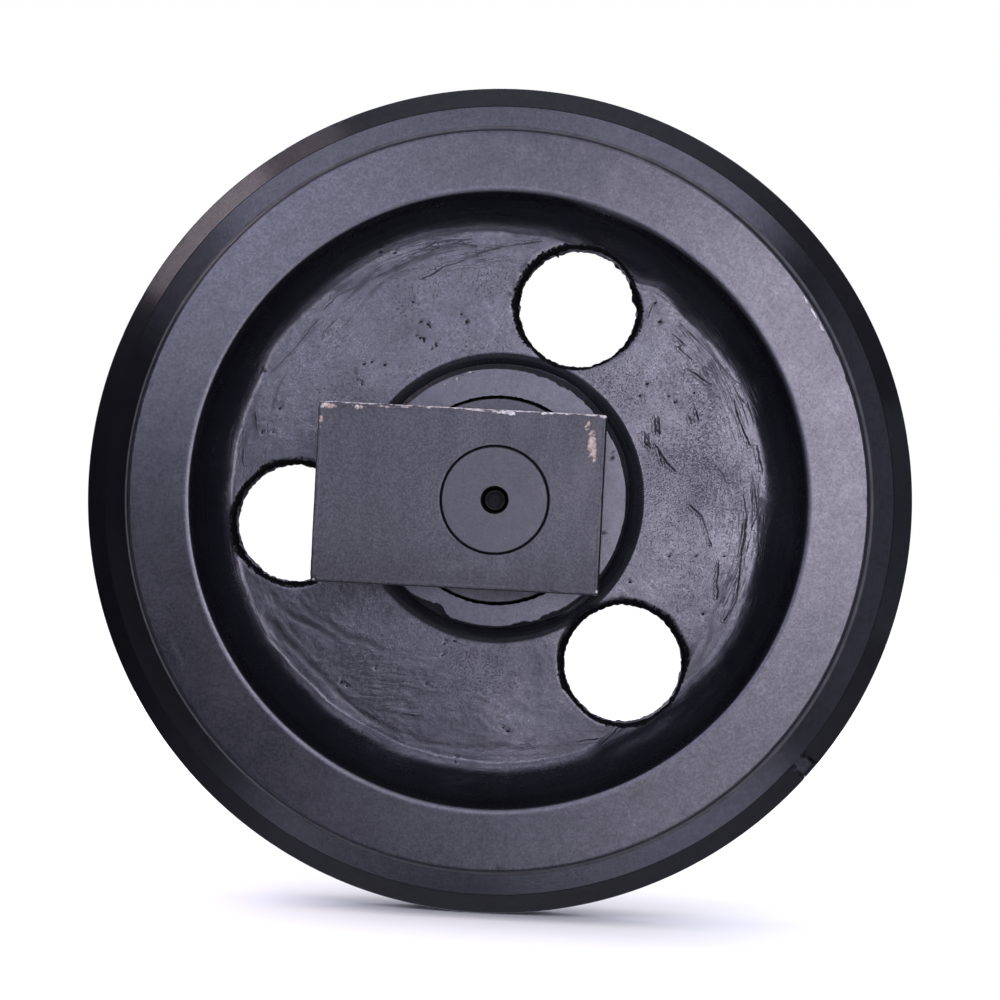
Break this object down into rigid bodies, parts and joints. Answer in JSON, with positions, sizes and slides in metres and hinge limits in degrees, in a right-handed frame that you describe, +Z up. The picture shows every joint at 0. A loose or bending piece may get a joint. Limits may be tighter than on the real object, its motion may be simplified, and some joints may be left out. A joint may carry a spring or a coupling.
{
  "type": "excavator front idler",
  "caption": "Front idler of a small tracked excavator: a cast wheel with a tall centre flange and holes in its web, turning on a sealed axle carried by two rectangular slide blocks.",
  "frame": {"origin": "the wheel's centre, on the axle's axis and half way along it", "axes": "+Y along the axle, from the front side (oil plug) to the rear side; +Z up; -X towards the tensioner yoke"},
  "size_m": [0.36, 0.176, 0.36],
  "materials": {
    "wheel_paint": "semi-gloss black paint over a rough casting, with smooth turned rim and hub faces",
    "block_paint": "semi-gloss black paint, chipped to bare steel along the edges",
    "collar_paint": "semi-gloss black paint on a turned ring",
    "axle_steel": "ground steel bar, end faces painted black with the block",
    "bush_bronze": "turned bronze",
    "seal_steel": "hard chilled iron ring with a lapped face",
    "rubber": "moulded black rubber",
    "pin_steel": "hardened steel, oiled",
    "plug_steel": "blackened steel"
  },
  "bodies": {
    "carrier": {"axle": "axle_steel", "slide_block_front": "block_paint", "slide_block_rear": "block_paint", "seal_collar_front": "collar_paint", "seal_collar_rear": "collar_paint", "collar_seal_ring_front": "seal_steel", "collar_seal_ring_rear": "seal_steel", "collar_toric_ring_front": "rubber", "collar_toric_ring_rear": "rubber", "axle_o_ring_front": "rubber", "axle_o_ring_rear": "rubber", "lock_pin_front": "pin_steel", "lock_pin_rear": "pin_steel", "oil_plug": "plug_steel"},
    "wheel": {"idler_wheel": "wheel_paint", "bush_front": "bush_bronze", "bush_rear": "bush_bronze", "wheel_seal_ring_front": "seal_steel", "wheel_seal_ring_rear": "seal_steel", "wheel_toric_ring_front": "rubber", "wheel_toric_ring_rear": "rubber"}
  },
  "joints": [
    {"name": "wheel_spin", "type": "hinge", "parent": "carrier", "child": "wheel", "pos_m": [0, 0, 0], "axis": [0, 1, 0], "continuous": true}
  ]
}
